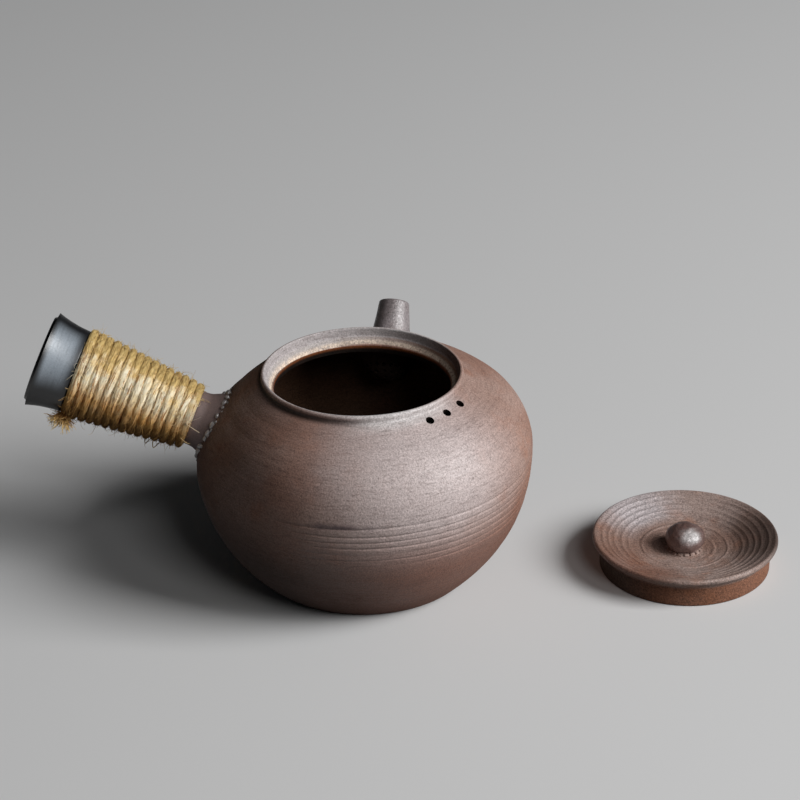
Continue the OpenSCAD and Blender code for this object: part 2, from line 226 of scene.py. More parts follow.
inner_wall = walked(arc(shoulder_x, girth_z, shoulder_curve - wall, 90, 0, inner_step)
                    + arc(belly_x, girth_z, belly_curve - wall, 0, floor_turn, inner_step)[1:]
                    + [(floor_x, floor_t), (0, floor_t)], flat_step)[1:]
pot_outline = foot + outer_wall + collar + inner_wall
pot_along = [0.0]
for (x, z), (next_x, next_z) in zip(pot_outline, pot_outline[1:]):
    pot_along.append(pot_along[-1] + math.hypot(next_x - x, next_z - z))
throat_row = next(row for row, (x, z) in enumerate(pot_outline)
                  if row > len(foot + outer_wall) and x < mouth_r + edge_round and z < seat_z)

# The handle was pressed on while the wall was soft, and the shoulder has sunk a little there
press_turn = math.radians(176)
press_flat = math.radians(34)
press_reach = math.radians(78)
press_depth = 4.4 * MM
press_foot = 46 * MM
press_low = 74 * MM
press_high = 80 * MM

fine_mark = 0.04 * MM
broad_mark = 0.10 * MM
inner_mark = 0.08 * MM
sway = 0.22 * MM
sway_size = 34 * MM


def eased(value, low, high):
    """0 below low, 1 above high and a smooth rise between them."""
    share = min(1.0, max(0.0, (value - low) / (high - low)))
    return share * share * (3 - 2 * share)


def rings(turn, along, size, seed=0):
    """Unevenness of marks left by the turning wheel: long round the piece, and about size wide."""
    return noise.noise(Vector((0.6 * math.cos(turn) + seed, 0.6 * math.sin(turn), along / size)))


def press_share(turn, z):
    """How much of the dent by the handle a point of the wall takes."""
    away = abs((turn - press_turn + math.pi) % (2 * math.pi) - math.pi)
    height = eased(z, press_foot, press_low) * (1 - eased(z, press_high, crease_z))
    return (1 - eased(away, press_flat, press_reach)) * height


def grooves(turn, z):
    """Depth of the grooves that a rib cut round the belly, strongest on the side of the vents."""
    deep = 0.0
    for k in range(groove_count):
        way = Vector((math.cos(turn), math.sin(turn), 2.7 * k))
        drift = 0.35 * noise.noise(Vector((0, 0, 5.3 * k))) + 0.22 * noise.noise(way)
        middle = groove_low + groove_step * (k + drift)
        share = 0.8 * noise.noise(1.3 * way + Vector((9, 0, 0))) + 0.6 * math.cos(turn - groove_side)
        deep += groove_deep * eased(share, 0.0, 0.6) * math.exp(-((z - middle) / groove_w) ** 2)
    return deep


def pot_depth(row, turn):
    """Lift of the pot's surface: wheel marks, grooves, slow unevenness and the dent by the handle."""
    x, z = pot_outline[row]
    if row < len(foot):
        return 0
    if row >= throat_row:
        sunk = press_share(turn, z) * eased(x, mouth_r + 2 * MM, mouth_r + 14 * MM)
        return inner_mark * rings(turn, z + x, 2.6 * MM) + press_depth * sunk
    along = pot_along[row]
    lift = fine_mark * rings(turn, along, 0.9 * MM) + broad_mark * rings(turn, along, 3.2 * MM, 5)
    if groove_low - 2 * groove_step < z < girth_z + 2 * groove_step:
        lift -= grooves(turn, z)
    lift += sway * noise.noise(Vector((x * math.cos(turn), x * math.sin(turn), z)) / sway_size)
    return lift - press_depth * press_share(turn, z)


def drill(piece, cutters):
    """Cuts the cutters' shapes out of the piece for good."""
    for cutter in cutters:
        cut = piece.modifiers.new(cutter.name, "BOOLEAN")
        cut.object = cutter
        cut.solver = "EXACT"
    depsgraph = bpy.context.evaluated_depsgraph_get()
    mesh = bpy.data.meshes.new_from_object(piece.evaluated_get(depsgraph), depsgraph=depsgraph)
    piece.modifiers.clear()
    piece.data = mesh
    mesh.set_sharp_from_angle(angle=sharp_turn)
    for cutter in cutters:
        bpy.data.objects.remove(cutter)


def drill_bit(name, radius, length, place, flare=0.0):
    """A rod along the place's own axis, from its origin down, that widens by flare at the top."""
    top = 2 * MM
    rod = [(0, -length), (radius, -length), (radius, -2 * flare), (radius + flare, 0), (radius + flare, top),
           (0, top)]
    return thrown(name, rod, 40, inner_from=0, place=place)


vent_r = 1.7 * MM
vent_gap = 2.1 * MM
vent_rim = 0.15 * MM
vent_step = math.radians(12)
vent_turn = math.radians(-30.5)
vent_at = collar_r + vent_gap + vent_r
vent_z = slope_z + (slope_x - vent_at) * math.tan(shoulder_slope)
vent_place = Matrix.Translation((vent_at, 0, vent_z)) @ Matrix.Rotation(shoulder_slope, 4, "Y")
spout_seat = math.radians(39)
spout_rise = math.radians(50)
port_r = 5.5 * MM
spout_place = (Matrix.Translation((0, shoulder_x + shoulder_curve * math.cos(spout_seat),
                                   girth_z + shoulder_curve * math.sin(spout_seat)))
               @ Matrix.Rotation(spout_rise - math.pi / 2, 4, "X"))
pot = thrown("pot", pot_outline, 240, pot_depth, throat_row)


def paint(red, green, blue):
    """A colour as it looks on a screen, 0 to 255, as the shader needs it."""
    shares = [value / 255 for value in (red, green, blue)]
    return [s / 12.92 if s < 0.04045 else ((s + 0.055) / 1.055) ** 2.4 for s in shares] + [1.0]


def feed(node, values):
    """Sets a node's inputs, to numbers and colours or to other nodes' outputs."""
    for key, value in values.items():
        if isinstance(value, bpy.types.NodeSocket):
            node.id_data.links.new(value, node.inputs[key])
        else:
            node.inputs[key].default_value = value


def shade(tree, kind, values=None, **settings):
    """Adds a shader node with those settings and inputs to a node tree."""
    made = tree.nodes.new("ShaderNode" + kind)
    for key, value in settings.items():
        setattr(made, key, value)
    feed(made, values or {})
    return made


def maths(operation, first, second=0.0):
    """A sum on one or two nodes' outputs, in the node tree that they belong to."""
    owner = first if isinstance(first, bpy.types.NodeSocket) else second
    return shade(owner.id_data, "Math", {0: first, 1: second}, operation=operation).outputs[0]


def plus(first, second):
    return maths("ADD", first, second)


def less(first, second):
    return maths("SUBTRACT", first, second)


def times(first, second):
    return maths("MULTIPLY", first, second)


def rest(share):
    """What a share leaves of the whole."""
    return less(1.0, share)


def between(value, low, high):
    """0 where value is below low, 1 where it is above high, and a smooth rise between."""
    values = {"Value": value, "From Min": low, "From Max": high}
    return shade(value.id_data, "MapRange", values, interpolation_type="SMOOTHSTEP").outputs["Result"]


def blended(share, first, second, way="MIX"):
    """The first colour where share is 0 and the second where it is 1."""
    values = {0: share, 6: first, 7: second}
    return shade(share.id_data, "Mix", values, data_type="RGBA", blend_type=way).outputs[2]


def layered(colour, *layers):
    """Lays colours over a colour one by one; each layer is a share, its strength and its colour."""
    for share, strength, tint in layers:
        colour = blended(times(share, strength), colour, tint)
    return colour


def patterned(vector, scale, detail=2.0, rough=0.5):
    """Soft random pattern with a scale in waves a metre."""
    values = {"Vector": vector, "Scale": scale, "Detail": detail, "Roughness": rough}
    return shade(vector.id_data, "TexNoise", values).outputs["Fac"]


def apart(vector):
    """The three parts of a vector."""
    return shade(vector.id_data, "SeparateXYZ", {0: vector}).outputs


def own_place(tree, place):
    """Coordinates in the piece's own frame, of which place is the way into the object's."""
    values = {"Vector": shade(tree, "TexCoord").outputs["Object"], "Location": place.to_translation(),
              "Rotation": place.to_euler()}
    return shade(tree, "Mapping", values, vector_type="TEXTURE").outputs["Vector"]


def from_axis(parts):
    """Distance from the axis of a thrown piece."""
    squares = [times(parts[k], parts[k]) for k in (0, 1)]
    return maths("SQRT", plus(squares[0], squares[1]))


def ragged_away(own, at, size, ragged, waves, detail=2.0, rough=0.5):
    """Distance from a place in sizes along each axis, made uneven so that a patch gets a ragged edge."""
    values = {"Vector": own, "Location": at, "Scale": size}
    spread = shade(own.id_data, "Mapping", values, vector_type="TEXTURE").outputs[0]
    away = shade(own.id_data, "VectorMath", {0: spread}, operation="LENGTH").outputs["Value"]
    return plus(away, times(patterned(own, waves, detail, rough), ragged))


globe_mid = 50 * MM
globe_r = 66 * MM
even = (1, 1, 1)


def globe_run(parts):
    """Distance along a globe's outline, from its girth up."""
    lift = less(parts[2], globe_mid)
    return times(maths("ARCTAN2", lift, from_axis(parts)), globe_r)


def disc_run(parts):
    """Distance along a shallow dish, from its middle out, and down its edge."""
    return less(from_axis(parts), parts[2])


def rod_run(parts):
    """Distance along a rod."""
    return parts[2]


def new_finish(name):
    """A new material with its node tree and its shader."""
    material = bpy.data.materials.new(name)
    material.use_nodes = True
    return material, material.node_tree, material.node_tree.nodes["Principled BSDF"]


def fired_clay(name, place, run, clay, ash, warm, dark, shine=0.54, grain=1.0, lines=1.0, gloss=1.5,
               marks=None):
    """Bare stoneware: sandy clay with wheel marks along run, clouded by the fire and greyed by ash."""
    material, tree, body = new_finish(name)
    own = own_place(tree, place)
    parts = apart(own)
    along = run(parts)

    def wheel_marks(round_scale, along_scale):
        places = {0: times(parts[0], round_scale), 1: times(parts[1], round_scale),
                  2: times(along, along_scale)}
        return patterned(shade(tree, "CombineXYZ", places).outputs[0], 1.0, 3.0, 0.6)

    fine_rings = wheel_marks(150.0, 1200.0)
    broad_rings = wheel_marks(14.0, 240.0)
    clouds = patterned(own, 30.0, 4.0, 0.55)
    patches = patterned(own, 75.0, 3.0, 0.6)
    sand = patterned(own, 1500.0, 2.0, 0.7)
    pits = patterned(own, 1000.0, 3.0, 0.7)
    colour = layered(clay, (between(clouds, 0.36, 0.66), 1.0, ash),
                     (between(patches, 0.5, 0.78), 0.6, warm))
    dry = 0.0
    if marks:
        colour, dry = marks(own, colour)
    colour = layered(colour, (between(fine_rings, 0.48, 0.70), 0.34 * lines, dark),
                     (between(broad_rings, 0.5, 0.75), 0.14 * lines, dark),
                     (between(pits, 0.55, 0.70), 0.4 * grain, dark))
    speckle = plus(1.0 - 0.8 * grain, times(sand, 1.6 * grain))
    colour = shade(tree, "VectorMath", {0: colour, "Scale": speckle}, operation="SCALE").outputs[0]
    rough = plus(times(less(pits, 0.5), 0.5 * grain), times(less(fine_rings, 0.5), 0.25 * lines))
    values = {0: dry, 1: 0.9 - shine, 2: plus(rough, shine)}
    rough = shade(tree, "Math", values, operation="MULTIPLY_ADD").outputs[0]
    relief = less(times(sand, 0.5 * grain), times(pits, grain))
    relief = plus(relief, times(fine_rings, 0.9 * lines))
    bump = shade(tree, "Bump", {"Height": relief, "Strength": 1.0, "Distance": 0.15 * MM}).outputs["Normal"]
    feed(body, {"Base Color": colour, "Roughness": rough, "Normal": bump, "IOR": gloss})
    return material


flash_at = (4 * MM, -72 * MM, 57.5 * MM)
flash_size = (18 * MM, 40 * MM, 2.6 * MM)
# Pale ash patch on the right front, made paler where the lamp's sheen falls: partly ash, partly painted sheen
ash_sheen_at = (36 * MM, -56 * MM, 77 * MM)
ash_sheen_edge = 22 * MM
ash_sheen_fade = (26 * MM, 74 * MM)
dry_fade = (62 * MM, 98 * MM)
# Painted shade: the lower part is browner, darker still on the left, and the far left flank is darker
lower_shade_fade = (24 * MM, 58 * MM)
left_side_fade = (-30 * MM, 45 * MM)
left_flank_shade_fade = (-74 * MM, -48 * MM)
# Right end of the lip, where its painted highlight stops and its band turns brown as painted shade
lip_right_fade = (16 * MM, 38 * MM)
collar_front = (-34 * MM, -8 * MM)
collar_side = (-2 * MM, 18 * MM)
flash_purple = paint(82, 64, 68)
ash_sheen_grey = paint(208, 197, 196)
lip_grey = paint(186, 182, 183)
lip_highlight_pale = paint(212, 207, 206)
lip_brown = paint(122, 98, 90)
seat_tan = paint(146, 106, 82)
seat_grey = paint(178, 170, 166)
seat_brown = paint(128, 74, 44)
edge_highlight_pale = paint(232, 212, 192)
throat_shade_black = paint(20, 14, 11)
# Painted shade colours for the lower part, the left flank and the collar crease
lower_shade_brown = paint(128, 84, 66)
shade_dark = paint(32, 26, 24)
clay_brown = paint(148, 112, 97)
clay_ash = paint(166, 138, 127)
clay_warm = paint(156, 106, 82)
clay_dark = paint(84, 60, 52)


def pot_marks_and_light(own, colour):
    """Colour of the pot: ash with painted sheen on one side, a dark streak, a browner foot and a darker left
    side and crease as painted shade, painted highlights on the lip and collar, and a paler lid seat.
    """
    parts = apart(own)
    radius = from_axis(parts)
    flash = ragged_away(own, flash_at, flash_size, 0.9, 160.0)
    ash_sheen_away = ragged_away(own, ash_sheen_at, even, ash_sheen_edge, 60.0, 4.0, 0.6)
    # The pot's left side, away from the lamp: there painted shade darkens the clay, the lower part and the
    # collar crease, and the lip's painted highlight fades
    left_side = rest(between(parts[0], *left_side_fade))
    lip_right_end = between(parts[0], *lip_right_fade)
    # Painted shade in the crease under the collar, stronger on the left
    crease_shade = less(between(parts[2], crease_z - 1.2 * MM, crease_z),
                  between(parts[2], rim_z - 1.9 * MM, rim_z - 0.8 * MM))
    crease_shade = times(crease_shade, between(radius, collar_r - 0.6 * MM, collar_r - 0.2 * MM))
    crease_shade = times(crease_shade, plus(0.15, times(left_side, 0.75)))
    # Painted highlight on the front of the collar
    collar_highlight = times(between(parts[2], crease_z - 3 * MM, crease_z),
                       rest(between(parts[1], *collar_front)))
    collar_highlight = times(collar_highlight, between(parts[0], *collar_side))
    # Painted highlight along the top of the lip, weaker on the left and gone at the right end
    edge = times(between(parts[2], rim_z - 1.1 * MM, rim_z - 0.2 * MM), less(0.9, times(left_side, 0.8)))
    edge = times(edge, rest(lip_right_end))
    seat = rest(between(radius, seat_r - 0.6 * MM, seat_r - 0.2 * MM))
    seat = times(seat, less(0.95, times(left_side, 0.2)))
    # The ledge is greyer on the left, where it faces the lamp: partly its own grey, partly painted highlight;
    # it is browner at the throat's edge
    ledge = blended(between(radius, mouth_r, mouth_r + 1.6 * MM), seat_brown,
                    blended(left_side, seat_tan, seat_grey))
    # Painted highlight along the throat's edge, broken up by noise
    throat_edge_highlight = less(between(radius, mouth_r + 0.2 * MM, mouth_r + 0.8 * MM),
                     between(radius, mouth_r + 1.4 * MM, mouth_r + 2.4 * MM))
    throat_edge_highlight = times(throat_edge_highlight, between(patterned(own, 700.0), 0.2, 0.55))
    # Layers: ash with painted sheen, painted shade low down, on the left flank, the left side and the crease,
    # the dark streak, painted highlights on collar and lip, the lip band browner at its right end as painted
    # shade, the ledge, and the throat edge's painted highlight
    colour = layered(colour, (rest(between(ash_sheen_away, *ash_sheen_fade)), 0.75, ash_sheen_grey),
                     (rest(between(parts[2], *lower_shade_fade)), 0.92,
                      blended(left_side, lower_shade_brown, shade_dark)),
                     (rest(between(parts[0], *left_flank_shade_fade)), 0.6, shade_dark),
                     (left_side, 0.22, clay_dark), (crease_shade, 1.0, shade_dark),
                     (rest(between(flash, 0.55, 1.45)), 0.9, flash_purple),
                     (collar_highlight, 0.8, lip_highlight_pale),
                     (rest(between(radius, collar_r - lip_w, collar_r - 0.2 * lip_w)), 0.8,
                      blended(lip_right_end, lip_grey, lip_brown)),
                     (edge, 1.0, lip_highlight_pale), (seat, 1.0, ledge), (throat_edge_highlight, 0.8, edge_highlight_pale))
    return colour, between(ash_sheen_away, *dry_fade)


def throat_shade_marks(own, colour):
    """The throat is painted dark as shade, up to the brown edge of the lid's ledge."""
    parts = apart(own)
    brown = times(between(parts[2], seat_z - 1.8 * MM, seat_z),
                  rest(between(from_axis(parts), seat_r, collar_r)))
    black = between(parts[2], ceiling_z - 2 * MM, ceiling_z)
    return layered(colour, (black, 1.0, throat_shade_black), (brown, 1.0, seat_brown)), 0.5


outside_clay = fired_clay("fired_clay", Matrix.Identity(4), globe_run, clay_brown, clay_ash, clay_warm,
                          clay_dark, shine=0.5, lines=0.8, gloss=1.48, marks=pot_marks_and_light)
# The inside clay is painted darker than the outside, as shade in the pot's hollow
shaded_inside_clay = fired_clay("shaded_inner_clay", Matrix.Identity(4), globe_run, paint(80, 57, 43),
                         paint(86, 64, 50), paint(90, 58, 39), paint(46, 33, 26), shine=0.8, gloss=1.2,
                         marks=throat_shade_marks)
for material in (outside_clay, shaded_inside_clay):
    pot.data.materials.append(material)
bits = []
for k in (-1, 0, 1):
    place = (Matrix.Rotation(vent_turn + k * vent_step, 4, "Z") @ vent_place
             @ Matrix.Rotation(0.3 + k, 4, "Z"))
    bits.append(drill_bit(f"vent_bit_{k}", vent_r, 3 * wall, place, vent_rim))
drill(pot, bits + [drill_bit("port_bit", port_r, 4 * wall, spout_place)])
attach(pot, "pot")
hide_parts("pot_body")

# Spout
# A short tapered tube of the same clay, turned apart and luted over the port, with slip round its root.
# It was rubbed smooth, so it is darker and shinier than the body.
spout_len = 17.3 * MM
spout_tip_r = 6.6 * MM
spout_root_r = 8.7 * MM
spout_bore_r = 4.6 * MM
spout_sunk = 3.4 * MM
smear_w = 2.2 * MM
smear_h = 3.4 * MM
spout_lip = 0.8 * MM
spout_outline = soft([(spout_bore_r, -spout_sunk, 0),
                      (spout_root_r + smear_w + 1 * MM, -spout_sunk, edge_round),
                      (spout_root_r + smear_w * 0.4, 0, 3 * MM), (spout_root_r - 0.3 * MM, smear_h, 6 * MM),
                      (spout_tip_r, spout_len, spout_lip), (spout_bore_r, spout_len, spout_lip),
                      (spout_bore_r, 0, 0)], round_step)
spout_outline = walked(spout_outline, 0.6 * MM)


def spout_depth(row, turn):
    z = spout_outline[row][1]
    return 0.07 * MM * rings(turn, z, 1.6 * MM) + 0.10 * MM * rings(turn, z, 6 * MM, 3)


spout = thrown("spout_tube", spout_outline, 96, spout_depth, closed=True, place=spout_place)
spout.data.materials.append(fired_clay("rubbed_clay", spout_place, rod_run, paint(124, 114, 114),
                                       paint(148, 140, 142), paint(104, 80, 72), paint(56, 48, 47),
                                       shine=0.42, grain=1.5, lines=0.5, gloss=1.9))
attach(spout, "pot")
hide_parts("spout")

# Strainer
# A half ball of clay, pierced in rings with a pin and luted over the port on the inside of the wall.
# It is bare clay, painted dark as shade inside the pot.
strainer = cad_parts["strainer"]
strainer.material_slots[0].material = fired_clay("shaded_strainer_clay", Matrix.Identity(4), globe_run,
                                                 paint(58, 43, 35), paint(66, 52, 44), paint(62, 42, 32),
                                                 paint(36, 28, 24), shine=0.8, lines=0.0, gloss=1.4)

# Handle
# A hollow trumpet turned on the wheel and pushed onto the soft wall, open at its flared end.
# The flare was burnished while leather-hard, so it fired nearly black with a satin shine.
# A grey painted highlight lies on the flare's upper front, and the rounded lip at its end is painted black as
# shade.
handle_z = girth_z - 18.3 * MM
handle_turn = math.radians(94)
handle_rise = math.radians(21.5)
handle_len = 73 * MM
neck_r = 12 * MM
neck_len = 2.8 * MM
core_neck_r = 11 * MM
core_flare_r = 16.6 * MM
flare_len = 16.5 * MM
flare_step = 1.8 * MM
flare_r = 21.5 * MM
flare_lip = 1.0 * MM
flare_t = 3.6 * MM
trumpet_len = 22 * MM
handle_bore_r = 7.5 * MM
root_wall = 4 * MM
root_sunk = 16 * MM
root_spread = 3.2 * MM
root_cover = 1.5 * MM
handle_place = (Matrix.Translation((0, 0, handle_z)) @ Matrix.Rotation(handle_turn, 4, "Z")
                @ Matrix.Rotation(handle_rise - math.pi / 2, 4, "X"))
into_handle = handle_place.inverted()
handle_way = handle_place.to_3x3() @ Vector((0, 0, 1))


def skin_of(mesh):
    """A mesh's surface, to shoot rays at."""
    return BVHTree.FromPolygons([v.co for v in mesh.vertices], [list(p.vertices) for p in mesh.polygons])


far_out = handle_place.to_translation() + 2 * body_r * handle_way
root_s = 2 * body_r - skin_of(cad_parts["pot_body"].data).ray_cast(far_out, -handle_way)[3]
neck_end_s = root_s + neck_len
end_s = root_s + handle_len
flare_s = end_s - flare_len
flare_root_r = core_flare_r + flare_step
flare_rise = flare_r - flare_root_r
flare_curve = (flare_len ** 2 + flare_rise ** 2) / (2 * flare_rise)
neck_run = soft([(0, root_s - root_sunk, 0), (neck_r + root_spread, root_s - root_sunk, edge_round),
                 (neck_r + root_spread, root_s - 8 * MM, 6 * MM), (neck_r, root_s - 1 * MM, 8 * MM),
                 (neck_r - 0.2 * MM, neck_end_s, edge_round), (core_neck_r, neck_end_s, edge_round),
                 (core_flare_r, flare_s, edge_round), (flare_root_r, flare_s, 2 * edge_round),
                 (flare_root_r, flare_s + 1 * MM, 0)], round_step)
flare_turn = math.degrees(math.asin(flare_len / flare_curve))
flare_run = arc(flare_root_r + flare_curve, flare_s, flare_curve, 180 - 0.1 * flare_turn,
                180 - 0.86 * flare_turn, 0.6 * MM)
end_run = soft([flare_run[-1] + (0,), (flare_r, end_s, flare_lip), (flare_r - flare_t, end_s, flare_lip),
                (handle_bore_r, end_s - trumpet_len, 12 * MM), (handle_bore_r, root_s + root_wall, 2 * MM),
                (0, root_s + root_wall, 0)], 0.4 * MM)
handle_outline = walked(neck_run[:-1] + flare_run + end_run[1:], 1.2 * MM)


def handle_depth(row, turn):
    z = handle_outline[row][1]
    return 0.05 * MM * rings(turn, z, 1.8 * MM) + 0.12 * MM * rings(turn, z, 9 * MM, 4)


# Turn round the flare that its painted highlight faces
flare_highlight_turn = math.radians(222)
flare_highlight_grey = paint(164, 174, 184)
neck_brown = paint(136, 116, 112)
lip_shade_black = paint(12, 12, 13)


def facing(parts, turn):
    """How squarely a point of a thrown piece faces that turn round its axis, from -1 to 1."""
    way = plus(times(parts[0], math.cos(turn)), times(parts[1], math.sin(turn)))
    return maths("DIVIDE", way, from_axis(parts))


def handle_marks_and_light(own, colour):
    """The neck keeps the brown of the clay, the lip is painted black as shade, and a grey painted highlight
    lies on the flare.
    """
    parts = apart(own)
    neck = rest(between(parts[2], neck_end_s, neck_end_s + 20 * MM))
    # Painted shade: the rounded lip at the flare's end is black
    lip = between(parts[2], end_s - 4.2 * MM, end_s - 1.4 * MM)
    brushed = shade(own.id_data, "Mapping", {"Vector": own, "Scale": (60, 60, 900)}).outputs[0]
    flare_highlight = times(between(facing(parts, flare_highlight_turn), 0.6, 1.0),
                  between(patterned(brushed, 1.0, 3.0), -0.35, 0.6))
    flare_highlight = times(flare_highlight, between(parts[2], flare_s, flare_s + 5 * MM))
    colour = layered(colour, (neck, 1.0, neck_brown), (flare_highlight, 0.8, flare_highlight_grey), (lip, 1.0, lip_shade_black))
    return colour, times(neck, 0.4)


handle = thrown("handle_trumpet", handle_outline, 144, handle_depth, place=handle_place)

# The root ends inside the pot's wall, a little under its skin, where its rows are drawn together
pot_skin = skin_of(pot.data)
for vert in handle.data.vertices:
    own = into_handle @ vert.co
    if own.z < root_s:
        skin_at = pot_skin.ray_cast(handle_place @ Vector((own.x, own.y, 2 * body_r)), -handle_way)[0]
        deepest = (into_handle @ skin_at).z - root_cover
        own.z = max(own.z, deepest + 0.02 * (own.z - deepest))
        vert.co = handle_place @ own
handle.data.update()
handle.data.materials.append(fired_clay("burnished_clay", handle_place, rod_run, paint(22, 22, 24),
                                        paint(32, 33, 36), paint(28, 26, 26), paint(14, 14, 15), shine=0.38,
                                        grain=0.35, lines=0.2, gloss=1.65, marks=handle_marks_and_light))
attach(handle, "pot")
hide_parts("handle")

# Luting pellets
# A row of soft clay pellets pressed one by one into the corner between the handle's root and the pot.
# Ash has melted on them, so they shine.
pellet_count = 24
pellet_r = 1.3 * MM
pellet_ring_r = neck_r + root_spread - 0.4 * MM


def seam_point(turn, radius):
    """Where a line along the handle, at that turn and radius, meets the pot, and the wall's normal there."""
    start = handle_place @ Vector((radius * math.cos(turn), radius * math.sin(turn), 2 * body_r))
    return pot_skin.ray_cast(start, -handle_way)[:2]


def pellet(bm, at, lift, way, size):
    """One pressed lump, longer along way than across it."""
    side = lift.cross(way).normalized()
    frame_of = Matrix((way, side, lift)).transposed()
    lump = bmesh.ops.create_icosphere(bm, subdivisions=2, radius=1.0)["verts"]
    for vert in lump:
        squash = Vector((1.15 * vert.co.x, 0.95 * vert.co.y, 0.75 * vert.co.z))
        squash *= 1 + 0.4 * noise.noise(1.6 * vert.co + at * 900)
        vert.co = at + size * (frame_of @ squash)


luck = random.Random(5)
bm = bmesh.new()
for k in range(pellet_count):
    turn = 2 * math.pi * (k + luck.uniform(-0.25, 0.25)) / pellet_count
    at, lift = seam_point(turn, pellet_ring_r + luck.uniform(-0.5, 0.5) * MM)
    after = seam_point(turn + 0.05, pellet_ring_r + luck.uniform(-0.3, 0.3) * MM)[0]
    way = (after - at).normalized()
    pellet(bm, at + 0.3 * pellet_r * lift, lift, way, pellet_r * luck.uniform(0.7, 1.15))
    at, lift = seam_point(turn + math.pi / pellet_count, pellet_ring_r + luck.uniform(1.2, 2.2) * MM)
    pellet(bm, at, lift, way, pellet_r * luck.uniform(0.3, 0.6))
pellets = smooth_piece(bm, "luting_pellets")
pellets.data.materials.append(fired_clay("melted_ash", handle_place, rod_run, paint(150, 142, 141),
                                         paint(196, 190, 188), paint(122, 108, 106), paint(64, 57, 57),
                                         shine=0.2, grain=0.5, lines=0.0, gloss=2.2))
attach(pellets, "pot")
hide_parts("handle_luting_beads")

# Twine binding
# Three-ply jute twine wound on in one length from the flare to the neck, to keep the handle cool to hold.
# Its first end sticks out under the flare and has frayed, and loose fibres stand up all over it.
# Its colour holds painted light: paler on one side, duller on top, browner underneath, and a lighter frayed
# end.
twine_r = 1.5 * MM
twine_gap = 0.5 * MM
twine_room = 0.3 * MM
wind_start = flare_s - twine_room - twine_r
wind_end = neck_end_s + twine_room + twine_r
wind_rows = round((wind_start - wind_end) / (2 * twine_r + twine_gap))
wind_pitch = (wind_start - wind_end) / wind_rows
first_turn = -0.8
last_turn = wind_rows - 0.05
row_start = -0.05
row_stepped = 0.25
plies = 3
ply_r = 1.14 * MM
ply_offset = 0.62 * MM
cord_r = ply_r + ply_offset
lay_length = 19 * MM
twine_step = 0.9 * MM
tail_len = 11 * MM


def core_at(s):
    """Radius of the bound core at that distance along the handle."""
    return core_neck_r + (core_flare_r - core_neck_r) * (s - neck_end_s) / (flare_s - neck_end_s)


def wind_place(turns):
    """Centre of the twine after that many turns; each lies flat and steps to the next on the far side."""
    angle = math.pi / 2 - 2 * math.pi * turns
    row = math.floor(turns - row_start)
    s = wind_start - wind_pitch * (row + eased(turns - row, row_start, row_stepped))
    s += 0.4 * MM * noise.noise(Vector((turns * 2.3, 0, 0)))
    radius = core_at(s) + twine_room + twine_r + 0.3 * MM * noise.noise(Vector((turns * 3.1, 4, 0)))
    return Vector((radius * math.cos(angle), radius * math.sin(angle), s))


def winding(turns):
    """The twine's centre after that many turns, the way out from the handle and the way it runs."""
    at = wind_place(turns)
    way = (wind_place(turns + 0.004) - wind_place(turns - 0.004)).normalized()
    return at, Vector((at.x, at.y, 0)).normalized(), way


def strands(name, runs, sides, material):
    """One mesh of round strands; each run is a list of points in the handle's frame with the radius there."""
    curve = bpy.data.curves.new(name, "CURVE")
    curve.dimensions = "3D"
    curve.bevel_depth = MM
    curve.bevel_resolution = sides // 2 - 2
    curve.use_fill_caps = True
    for run in runs:
        spline = curve.splines.new("POLY")
        spline.points.add(len(run) - 1)
        for point, (at, radius) in zip(spline.points, run):
            point.co = (handle_place @ at).to_4d()
            point.radius = radius / MM
    drawn = placed(name, curve)
    bpy.context.view_layer.update()
    depsgraph = bpy.context.evaluated_depsgraph_get()
    mesh = bpy.data.meshes.new_from_object(drawn.evaluated_get(depsgraph), depsgraph=depsgraph)
    bpy.data.objects.remove(drawn)
    mesh.shade_smooth()
    mesh.materials.clear()
    mesh.materials.append(material)
    return placed(name, mesh)


twine_light_turn = math.radians(204)
straw_pale = paint(255, 246, 220)
straw = paint(255, 224, 156)
straw_top_shade = paint(196, 168, 106)
straw_lower_shade = paint(244, 214, 172)
straw_gold = paint(206, 150, 76)
straw_brown = paint(138, 90, 40)
straw_dark = paint(96, 60, 28)


